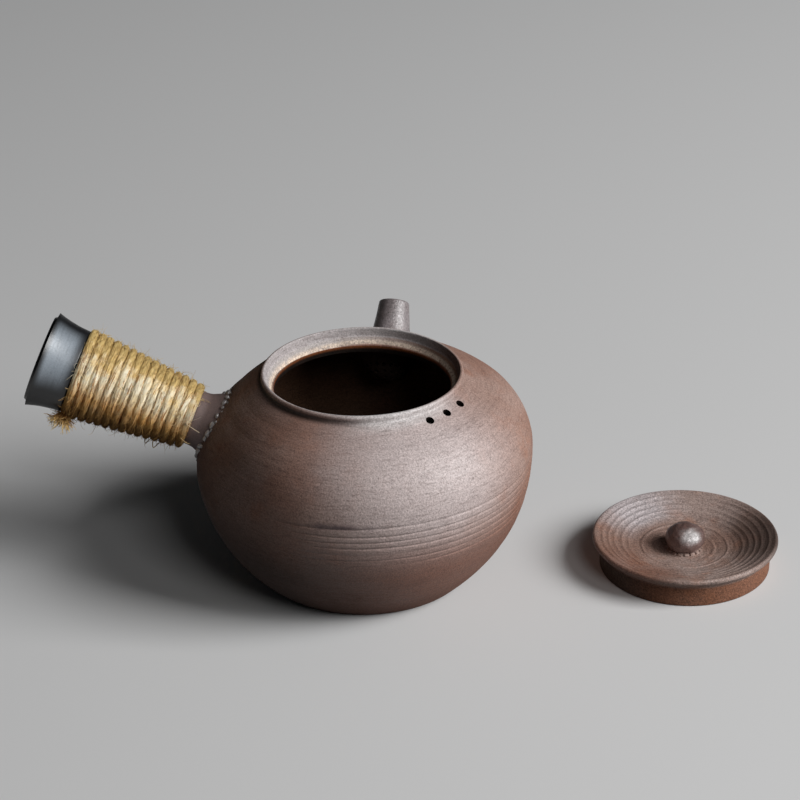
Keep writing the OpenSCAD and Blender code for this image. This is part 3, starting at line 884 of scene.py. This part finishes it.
def jute(name, length, straw, pale, brown):
    """Raw jute: dull fibres along the strand, straw to brown, browner in wear patches; painted light makes it
    paler on one side, duller on top, browner below and light at the frayed end.
    """
    material, tree, body = new_finish(name)
    strand = apart(shade(tree, "UVMap").outputs["UV"])
    run = times(strand[1], length)
    lay = shade(tree, "CombineXYZ", {0: times(strand[0], 9.0), 1: times(run, 320.0)}).outputs[0]
    own = shade(tree, "TexCoord").outputs["Object"]
    fibres = patterned(lay, 1.0, 3.0, 0.65)
    lengths = patterned(own, 140.0, 3.0, 0.6)
    flecks = patterned(own, 480.0, 2.0, 0.6)
    wear_and_shade = between(patterned(own, 85.0, 4.0, 0.65), 0.56, 0.72)
    parts = apart(own_place(tree, handle_place))
    upward = facing(parts, twine_light_turn + math.pi / 2)
    # Facing up, broken up by noise: painted shade makes the top duller gold and the lower side warmer and
    # darker
    mottled_facing = less(upward, times(lengths, 0.9))
    # Painted highlight: paler on one side of the binding, broken up by noise
    twine_highlight = plus(times(facing(parts, twine_light_turn), 0.5), times(lengths, 0.6))
    colour = layered(straw, (between(mottled_facing, -0.1, 0.45), 0.9, straw_top_shade),
                     (between(twine_highlight, 0.64, 0.84), 1.0, pale))
    lower_shade = rest(between(mottled_facing, -0.95, -0.4))
    colour = blended(lower_shade, colour, straw_lower_shade, "MULTIPLY")
    # The frayed tail, painted light straw so that it looks lit in the shadow under the handle
    loose = between(from_axis(parts), core_flare_r + 4.2 * MM, core_flare_r + 8.5 * MM)
    # Painted shade: browner underneath, except at the tail; joined with the random wear patches
    under = times(rest(between(upward, -0.9, -0.35)), rest(loose))
    wear_and_shade = maths("MAXIMUM", times(wear_and_shade, 0.7), times(under, 0.85))
    colour = layered(colour, (between(fibres, 0.5, 0.75), 0.25, brown),
                     (between(flecks, 0.58, 0.72), 0.35, brown), (wear_and_shade, 1.0, brown),
                     (loose, 0.85, straw))
    bump = shade(tree, "Bump", {"Height": fibres, "Strength": 0.6, "Distance": 0.12 * MM}).outputs["Normal"]
    feed(body, {"Base Color": colour, "Normal": bump, "Roughness": 0.85, "Sheen Weight": 0.5,
                      "Sheen Tint": straw, "Sheen Roughness": 0.5})
    return material


wind_turns = last_turn - first_turn
wind_r = (core_at(wind_start) + core_at(wind_end)) / 2 + twine_room + twine_r
wind_length = wind_turns * 2 * math.pi * wind_r
ply_runs = []
for ply in range(plies):
    run = []
    count = round(wind_length / twine_step)
    for k in range(count + 1):
        turns = first_turn + wind_turns * k / count
        at, out, way = winding(turns)
        twist = 2 * math.pi * (wind_length * k / count / lay_length + ply / plies)
        across = out.cross(way)
        swell = 1 + 0.34 * noise.noise(Vector((turns * 9, ply * 5, 2)))
        run.append((at + ply_offset * (math.cos(twist) * across + math.sin(twist) * out), ply_r * swell))
    ply_runs.append(run)
tail_start = winding(-0.12)[0]
tail_lobes = (Vector((-0.6, 0.75, 0.5)).normalized(), Vector((-0.6, 0.8, -0.45)).normalized())
for way in tail_lobes:
    ply_runs.append([(tail_start + (share * 0.5 * tail_len - cord_r) * way, ply_r * (1 - 0.6 * share * share))
                     for share in (0, 0.25, 0.5, 0.75, 1)])
twine = strands("twine_binding", ply_runs, 8, jute("jute_plies", wind_length, straw, straw_pale, straw_brown))
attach(twine, "pot")
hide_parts("twine_wrap")


def fibre(start, way, length, radius, luck, bends=5):
    """A loose fibre from start, which wanders as it runs and thins to its tip."""
    at, heading, run = start.copy(), way.normalized(), []
    for k in range(bends):
        run.append((at.copy(), radius * (1 - 0.65 * k / (bends - 1))))
        stray = Vector((luck.gauss(0, 1), luck.gauss(0, 1), luck.gauss(0, 1)))
        heading = (heading + 0.28 * stray).normalized()
        at += heading * length / (bends - 1)
    return run


surface_fibres = 2800
brown_fibres = 600
fuzz_count = 3200
fuzz_mean = 1.6 * MM
fuzz_longest = 6 * MM
tail_fibres = 170
fibre_length = 6 * MM
luck = random.Random(11)
fibre_runs, brown_runs, fuzz_runs, curl_runs = [], [], [], []
for k in range(surface_fibres + brown_fibres):
    start = luck.uniform(first_turn, last_turn - 0.2)
    length = luck.uniform(4, 13) * MM
    angle = luck.uniform(-0.1, 1.1) * math.pi
    drift = luck.gauss(0, 0.6)
    thick = luck.uniform(0.07, 0.15) * MM
    run = []
    for j in range(6):
        at, out, way = winding(start + length * j / 5 / (2 * math.pi * 16 * MM))
        lean = angle + drift * j / 5
        aside = math.cos(lean) * out.cross(way) + math.sin(lean) * out
        run.append((at + (cord_r + 0.02 * MM) * aside, thick))
    (fibre_runs if k < surface_fibres else brown_runs).append(run)
for k in range(fuzz_count):
    at, out, way = winding(luck.uniform(first_turn, last_turn))
    angle = luck.uniform(-0.25, 1.25) * math.pi
    lift = math.cos(angle) * out.cross(way) + math.sin(angle) * out
    heading = luck.choice((-1, 1)) * luck.uniform(0.3, 1.0) * way + luck.uniform(0.15, 0.9) * lift
    length = min(fuzz_longest, luck.expovariate(1 / fuzz_mean) + 0.8 * MM)
    fuzz_runs.append(fibre(at + 0.9 * cord_r * lift, heading, length, luck.uniform(0.06, 0.12) * MM, luck))
for k in range(tail_fibres):
    way = tail_lobes[k % 2]
    spread = Vector((luck.gauss(0, 0.5), luck.gauss(0, 0.5), luck.gauss(0, 0.5)))
    start = tail_start + luck.uniform(0, 0.3) * tail_len * way + 1.1 * MM * spread
    fuzz_runs.append(fibre(start, way + 0.22 * spread, luck.uniform(0.35, 0.62) * tail_len,
                           luck.uniform(0.16, 0.3) * MM, luck, 6))

# A few long fibres have sprung loose near the neck: where each starts in turns, its reach and its hump in mm
curls = ((13.71, 6.5, 1.6), (13.79, 4.5, 1.0), (10.92, 2.5, 2.6), (9.95, 2.0, 2.2), (12.3, 4.0, 2.0))
for turns, reach, hump in curls:
    at, out, way = winding(turns)
    run = []
    for share in (k / 8 for k in range(9)):
        rise = cord_r + hump * MM * math.sin(math.pi * share)
        aside = 1.5 * MM * share * share * way - reach * MM * share * Vector((0, 0, 1))
        run.append((at + rise * out + aside, 0.2 * MM))
    curl_runs.append(run)
jute_fibres = jute("jute_fibres", fibre_length, straw, straw_pale, straw_brown)
jute_curls = jute("jute_curls", fibre_length, straw_pale, straw_pale, straw)
jute_brown = jute("jute_brown", fibre_length, straw_brown, straw_gold, straw_dark)
loose_fibres = (("twine_fibres", fibre_runs, jute_fibres), ("twine_brown", brown_runs, jute_brown),
                ("twine_fuzz", fuzz_runs, jute_fibres), ("twine_curls", curl_runs, jute_curls))
for name, runs, material in loose_fibres:
    fuzz = strands(name, runs, 4, material)
    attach(fuzz, "pot")

# Lid
# A shallow dish with a flange that rests on the seat and a skirt that goes into the throat, thrown in one.
# Broad throwing rings step down into the dish; the skirt stayed out of the ash and fired orange-brown.
# Painted shade darkens the skirt's left and the dish's right, and painted sheen greys the dish's back left.
lid_low, lid_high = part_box("lid")
lid_place = Matrix.Translation(((lid_low.x + lid_high.x) / 2, (lid_low.y + lid_high.y) / 2, 0))
lid_r = (lid_high.x - lid_low.x) / 2
lid_top = lid_high.z
knob_low, knob_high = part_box("lid_knob")
land_z = knob_low.z
land_r = 9 * MM
flange_t = 2.6 * MM
flange_w = 3.1 * MM
skirt_r = lid_r - flange_w
skirt_t = 4 * MM
skirt_taper = 0.2 * MM
dish_depth = 7.4 * MM
brim_w = 1.2 * MM
lid_t = 4 * MM
lid_step = 0.8 * MM
groove_at = 18.6 * MM
ring_step = 2.9 * MM
dish_r = lid_r - brim_w
dish_curve = (dish_r ** 2 + dish_depth ** 2) / (2 * dish_depth)
dish_low = lid_top - dish_depth
dish_centre = dish_low + dish_curve
dish_edge = math.degrees(math.asin((dish_r - edge_round) / dish_curve))
land_edge = math.degrees(math.asin(land_r / dish_curve))
under_edge = math.degrees(math.asin((skirt_r - skirt_t) / (dish_curve + lid_t)))
under_z = dish_centre - (dish_curve + lid_t) * math.cos(math.radians(under_edge))
cone_rise = seat_drop / seat_w
cone_turn = math.atan(cone_rise)
flange_low = lid_top - flange_t / 2 * (1 + math.cos(cone_turn) - (1 - math.sin(cone_turn)) * cone_rise)
skirt_h = flange_low - flange_w * cone_rise
dish = [(0, land_z)] + arc(0, dish_centre, dish_curve, 270 + land_edge, 270 + dish_edge, round_step)
brim = soft([dish[-1] + (0,), (dish_r, lid_top, 2 * edge_round), (lid_r, lid_top, 0.42 * flange_t),
             (lid_r, flange_low, 0.5 * flange_t), (skirt_r, skirt_h, 2 * edge_round),
             (skirt_r - skirt_taper, 0, edge_round), (skirt_r - skirt_t, 0, 2 * edge_round),
             (skirt_r - skirt_t, under_z, 0)], round_step)
under = arc(0, dish_centre, dish_curve + lid_t, 270 + under_edge, 270, 3 * MM)
lid_outline = walked(dish + brim[1:] + under[1:], lid_step)
dish_rows = len(walked(dish, lid_step))


def lid_depth(row, turn):
    """Lift of the lid's surface: rings that step down into the dish, and two grooves round the knob."""
    x, z = lid_outline[row]
    if row >= dish_rows:
        return 0.05 * MM * rings(turn, z + x, 1.6 * MM)
    wander = 1.0 * MM * noise.noise(Vector((0.8 * math.cos(turn), 0.8 * math.sin(turn), x / (7 * MM))))
    step = ((x + wander) / ring_step) % 1
    strength = eased(x, 19 * MM, 26 * MM) * (1 - eased(x, dish_r - 3 * MM, dish_r))
    lift = -0.32 * MM * strength * (1 - abs(2 * step - 1)) ** 2 + 0.10 * MM * rings(turn, x, 1.1 * MM)
    lift -= 0.3 * MM * math.exp(-((x - groove_at - 0.3 * wander) / (0.55 * MM)) ** 2)
    lift -= 0.12 * MM * math.exp(-((x - 0.68 * groove_at) / (0.5 * MM)) ** 2)
    return lift


# Dish patches: painted shade on the right, painted sheen at the back left, a red blush at the front left
dish_shade_at = (36 * MM, 6 * MM, lid_top)
dish_sheen_at = (-26 * MM, 24 * MM, lid_top)
blush_at = (-22 * MM, -30 * MM, lid_top)
patch_near = 12 * MM
skirt_shade_fade = (-30 * MM, -2 * MM)
dish_shade_brown = paint(66, 53, 47)
# Pale grey of the dish's painted sheen
dish_sheen_grey = paint(188, 182, 185)
lid_blush = paint(128, 84, 64)
skirt_orange = paint(132, 82, 53)
skirt_shade_dark = paint(66, 56, 46)


def lid_marks_and_light(own, colour):
    """The skirt is cleaner and more orange, darker to the left as painted shade; the dish is darker on the
    right as painted shade, greyed at the back left as painted sheen, and reddened at the front left.
    """
    parts = apart(own)
    low = rest(between(parts[2], skirt_h - 1.2 * MM, skirt_h + 0.6 * MM))
    outer = between(from_axis(parts), skirt_r - skirt_t - 1 * MM, skirt_r - skirt_t)
    skirt = times(low, outer)
    # Painted shade: the skirt darkens towards its left
    skirt_tint = blended(between(parts[0], *skirt_shade_fade), skirt_shade_dark, skirt_orange)
    colour = layered(colour, (skirt, 0.85, skirt_tint))
    for at, ragged, waves, reach, strength, tint in ((dish_shade_at, 12, 70.0, 44, 0.85, dish_shade_brown),
                                                     (dish_sheen_at, 14, 90.0, 36, 0.75, dish_sheen_grey),
                                                     (blush_at, 14, 90.0, 36, 0.6, lid_blush)):
        away = ragged_away(own, at, even, ragged * MM, waves, 3.0, 0.6)
        share = times(rest(between(away, patch_near, reach * MM)), rest(low))
        colour = layered(colour, (share, strength, tint))
    return colour, skirt


lid = thrown("lid_dish", lid_outline, 200, lid_depth, place=lid_place)
lid.data.materials.append(fired_clay("lid_clay", lid_place, disc_run, paint(138, 110, 98),
                                     paint(166, 146, 138), paint(156, 108, 84), clay_dark, shine=0.5,
                                     grain=1.6, lines=0.7, marks=lid_marks_and_light))
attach(lid, "lid")
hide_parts("lid")

# Lid knob
# A flattened ball of clay, turned apart and set on the middle of the dish with slip.
# Its surface is uneven and mottled, and a pale grey patch on its front is a painted highlight.
knob_r = (knob_high.x - knob_low.x) / 2
knob_place = Matrix.Translation((lid_place.to_translation().x, lid_place.to_translation().y, land_z))
knob_top = knob_high.z - land_z
knob_half = 6.4 * MM
knob_side = 5 * MM
knob_foot_r = 6.4 * MM
knob_step = 0.35 * MM
knob_mid = knob_top - knob_half
side_x = knob_r - knob_side
crown_r = (side_x ** 2 + knob_half ** 2 - knob_side ** 2) / (2 * (knob_half - knob_side))
crown_edge = math.degrees(math.asin(side_x / (crown_r - knob_side)))
foot_edge = math.degrees(math.asin(knob_foot_r / crown_r))
knob_outline = ([(0, 0), (knob_foot_r, 0)]
                + arc(0, knob_mid + crown_r - knob_half, crown_r, 270 + foot_edge, 270 + crown_edge,
                      knob_step)
                + arc(side_x, knob_mid, knob_side, crown_edge - 90, 90 - crown_edge, knob_step)[1:]
                + arc(0, knob_mid - crown_r + knob_half, crown_r, 90 - crown_edge, 90, knob_step)[1:])


def knob_depth(row, turn):
    x, z = knob_outline[row]
    at = Vector((x * math.cos(turn), x * math.sin(turn), z))
    return 0.4 * MM * noise.noise(at / (4.5 * MM)) + 0.2 * MM * noise.noise(at / (1.8 * MM))


knob_highlight_at = (3.2 * MM, -6.0 * MM, knob_mid + 3.6 * MM)
knob_highlight_size = (5.6 * MM, 5.6 * MM, 3.6 * MM)
knob_highlight_grey = paint(182, 176, 175)


def knob_highlight_patch(own, colour):
    """A pale grey patch on the knob's front, a painted highlight."""
    away = ragged_away(own, knob_highlight_at, knob_highlight_size, 0.8, 420.0, 3.0, 0.6)
    return blended(rest(between(away, 0.75, 1.6)), colour, knob_highlight_grey), 0.0


knob = thrown("knob_ball", knob_outline, 96, knob_depth, place=knob_place)
knob.data.materials.append(fired_clay("knob_clay", knob_place, disc_run, paint(92, 68, 62),
                                      paint(122, 102, 98), paint(104, 66, 56), paint(46, 34, 31), shine=0.4,
                                      grain=1.3, lines=0.4, gloss=1.8, marks=knob_highlight_patch))
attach(knob, "lid")
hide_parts("lid_knob")

# Knob ring
# A thin coil of clay pressed into the corner round the knob's foot and notched with a pin all the way round.
# It seals the joint, and its raised tabs catch the light.
ring_low, ring_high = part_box("knob_luting_ring")
ring_h = ring_high.z - ring_low.z
ring_out = (ring_high.x - ring_low.x) / 2
ring_lap = 0.3 * MM
ring_notches = 16
notch_deep = 0.8 * MM
ring_outline = soft([(knob_foot_r - ring_lap, 0, 0), (ring_out, 0, 0.1 * MM),
                     (ring_out - 0.1 * MM, 0.5 * ring_h, 0.5 * MM),
                     (knob_foot_r + ring_lap, ring_h, 0.3 * MM),
                     (knob_foot_r - ring_lap, ring_h, 0)], 0.12 * MM)


def ring_depth(row, turn):
    x, z = ring_outline[row]
    notch = abs((turn * ring_notches / (2 * math.pi)) % 1 - 0.5) * 2
    return -notch_deep * eased(notch, 0.55, 0.8) * z / ring_h if x > knob_foot_r else 0


knob_ring = thrown("knob_ring", ring_outline, 288, ring_depth, closed=True, place=knob_place)
knob_ring.data.materials.append(lid.data.materials[0])
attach(knob_ring, "lid")
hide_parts("knob_luting_ring")

# Studio
# A plain pale table top, a large soft lamp on the right, a weak one further in front and a faint even sky.
# The table is pale to the eye and in reflections, and darker to the light that it throws back on the clay.
table_half = 4.0
table_z = -0.1 * MM
table_pale = (0.70, 0.70, 0.70, 1)
table_dark = (0.10, 0.10, 0.10, 1)
bm = bmesh.new()
bmesh.ops.create_grid(bm, x_segments=1, y_segments=1, size=table_half,
                      matrix=Matrix.Translation((0, 0, table_z)))
table = smooth_piece(bm, "table")
table_paint, tree, body = new_finish("table_paint")
ray = shade(tree, "LightPath").outputs
seen = maths("MAXIMUM", ray["Is Camera Ray"], ray["Is Glossy Ray"])
seen = maths("MAXIMUM", seen, ray["Is Transmission Ray"])
feed(body, {"Base Color": blended(seen, table_dark, table_pale), "Roughness": 0.9,
                  "Specular IOR Level": 0.1})
table.data.materials.append(table_paint)


def softbox(name, turn, rise, distance, size, power):
    """A square soft lamp that looks at the pot from a turn round it and a rise above it, in degrees."""
    level = Vector((math.cos(math.radians(rise)), 0, math.sin(math.radians(rise))))
    way = Matrix.Rotation(math.radians(turn), 3, "Z") @ level
    lamp = placed(name, bpy.data.lights.new(name, "AREA"))
    lamp.data.shape = "SQUARE"
    lamp.data.size = size
    lamp.data.energy = power
    lamp.location = subject + distance * way
    lamp.rotation_euler = way.to_track_quat("Z", "Y").to_euler()


softbox("main_lamp", -8, 33, 3.0, 1.5, 101.0)
softbox("front_lamp", -52, 42, 3.0, 1.1, 10.5)
sky = bpy.data.worlds.new("sky")
sky.use_nodes = True
feed(sky.node_tree.nodes["Background"], {"Color": (0.9, 0.95, 1.0, 1), "Strength": 0.015})
scene.world = sky
